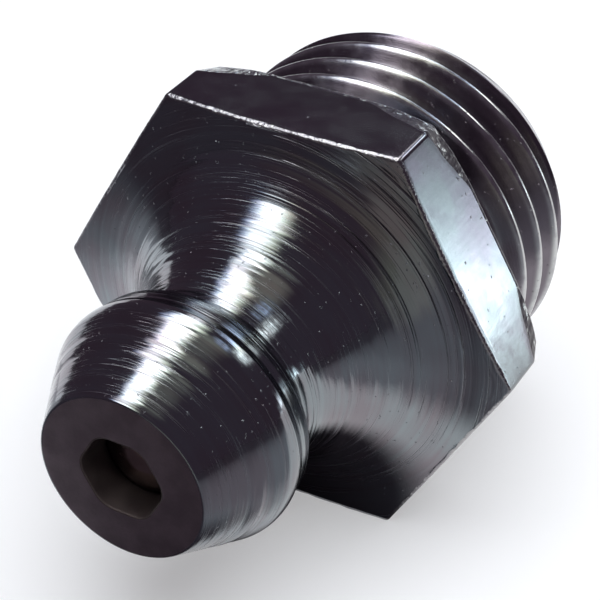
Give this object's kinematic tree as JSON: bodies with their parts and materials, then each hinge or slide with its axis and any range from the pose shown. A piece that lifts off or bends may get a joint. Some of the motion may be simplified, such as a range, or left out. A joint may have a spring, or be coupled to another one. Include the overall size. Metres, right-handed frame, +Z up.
{
  "type": "grease nipple",
  "caption": "Straight grease nipple with a conical head on a hexagonal body, a fine mounting thread, and a sprung check ball behind its inlet.",
  "frame": {"origin": "on the axis, in the plane of the hexagon's seat, where the thread begins", "axes": "+Y along the axis towards the end of the thread, the head towards -Y, +Z up with one flat of the hexagon facing down"},
  "size_m": [0.0128, 0.0148, 0.011],
  "materials": {
    "plated_steel": "bright zinc plating over turned steel, with fine turning marks",
    "ball_steel": "polished",
    "spring_steel": "drawn wire, satin"
  },
  "bodies": {
    "nipple": {"body": "plated_steel", "spring": "spring_steel"},
    "ball": {"check_ball": "ball_steel"}
  },
  "joints": [
    {"name": "ball_lift", "type": "slide", "parent": "nipple", "child": "ball", "axis": [0, 1, 0], "range_m": [0, 0.001], "stiffness_N_per_m": 1500, "springref_m": -0.001, "deforming": ["spring"]}
  ]
}
